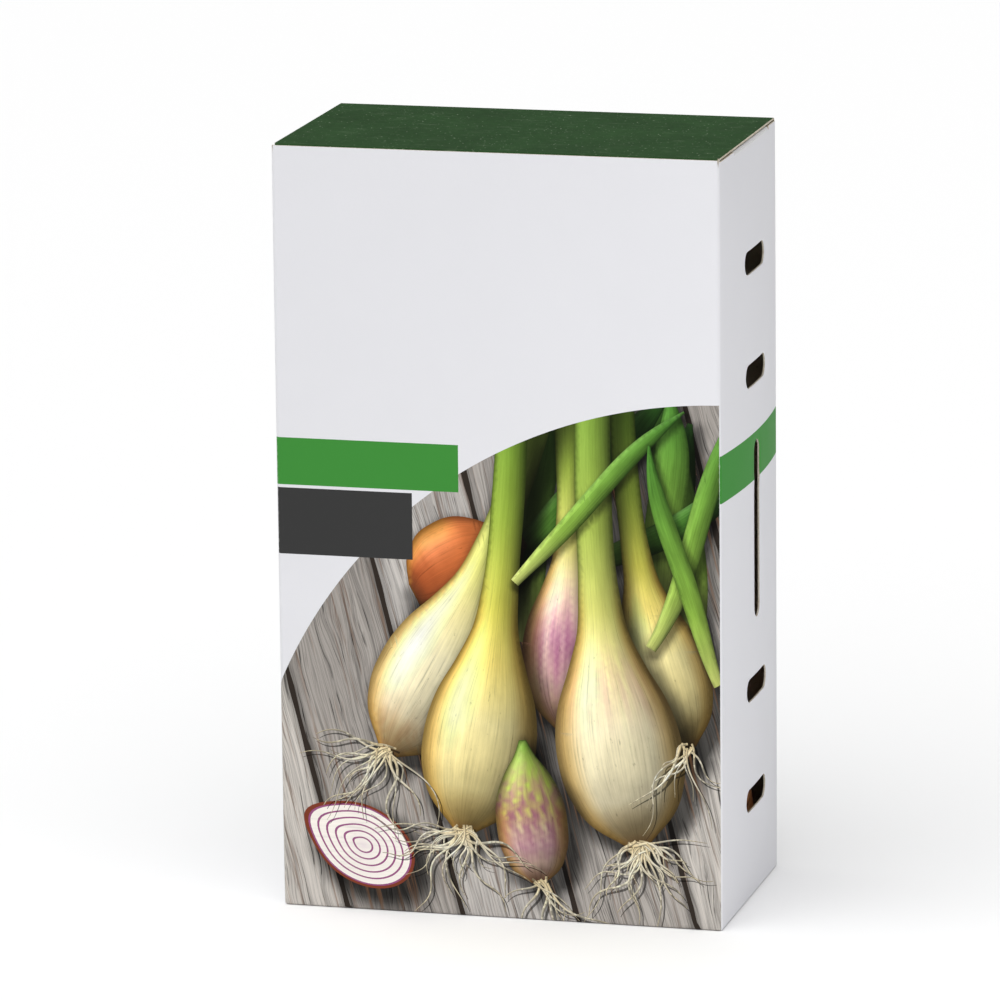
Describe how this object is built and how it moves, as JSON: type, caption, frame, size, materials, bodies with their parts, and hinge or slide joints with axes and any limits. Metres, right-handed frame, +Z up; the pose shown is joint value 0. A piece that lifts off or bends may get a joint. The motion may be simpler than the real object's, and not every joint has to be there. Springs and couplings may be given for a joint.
{
  "type": "folding carton of shallot sets",
  "caption": "Upright tuck-top paperboard carton with a green lid, slotted side panels and a loose fill of shallot sets.",
  "frame": {"origin": "middle of the carton's footprint, on the surface it stands on", "axes": "+Z up, +X to the right of the front panel, +Y from the front panel to the back panel; the front faces -Y"},
  "size_m": [0.1084, 0.058, 0.18],
  "materials": {
    "printed_board": "white clay-coated board, satin varnish, printed",
    "green_board": "white clay-coated board printed solid dark green, satin varnish",
    "plain_board": "uncoated inner side of recycled board",
    "shallot_skin": "dry papery copper-brown bulb skin"
  },
  "bodies": {
    "carton": {"sleeve": "printed_board", "glue_flap": "plain_board", "outer_bottom_flap": "plain_board", "inner_bottom_flap": "plain_board", "left_bottom_dust_flap": "plain_board", "right_bottom_dust_flap": "plain_board", "shallot_bulb_01": "shallot_skin", "shallot_bulb_02": "shallot_skin", "shallot_bulb_03": "shallot_skin", "shallot_bulb_04": "shallot_skin", "shallot_bulb_05": "shallot_skin", "shallot_bulb_06": "shallot_skin", "shallot_bulb_07": "shallot_skin", "shallot_bulb_08": "shallot_skin", "shallot_bulb_09": "shallot_skin", "shallot_bulb_10": "shallot_skin", "shallot_bulb_11": "shallot_skin", "shallot_bulb_12": "shallot_skin", "shallot_bulb_13": "shallot_skin", "shallot_bulb_14": "shallot_skin", "shallot_bulb_15": "shallot_skin", "shallot_bulb_16": "shallot_skin"},
    "lid": {"top_lid": "green_board"},
    "tongue": {"tuck_tongue": "green_board"},
    "left_dust_flap": {"left_dust_flap": "plain_board"},
    "right_dust_flap": {"right_dust_flap": "plain_board"}
  },
  "joints": [
    {"name": "lid_crease", "type": "hinge", "parent": "carton", "child": "lid", "pos_m": [0, 0.02877, 0.17977], "axis": [-1, 0, 0], "range_deg": [0, 120]},
    {"name": "tongue_crease", "type": "hinge", "parent": "lid", "child": "tongue", "pos_m": [0, -0.02801, 0.17977], "axis": [-1, 0, 0], "range_deg": [0, 30]},
    {"name": "right_dust_flap_crease", "type": "hinge", "parent": "carton", "child": "right_dust_flap", "pos_m": [0.05227, 0, 0.17901], "axis": [0, 1, 0], "range_deg": [0, 72]},
    {"name": "left_dust_flap_crease", "type": "hinge", "parent": "carton", "child": "left_dust_flap", "pos_m": [-0.05227, 0, 0.17901], "axis": [0, -1, 0], "range_deg": [0, 72]}
  ],
  "couplings": [
    {"joint": "tongue_crease", "follows": "lid_crease", "ratio": 0.25},
    {"joint": "right_dust_flap_crease", "follows": "lid_crease", "ratio": 0.6},
    {"joint": "left_dust_flap_crease", "follows": "lid_crease", "ratio": 0.6}
  ]
}
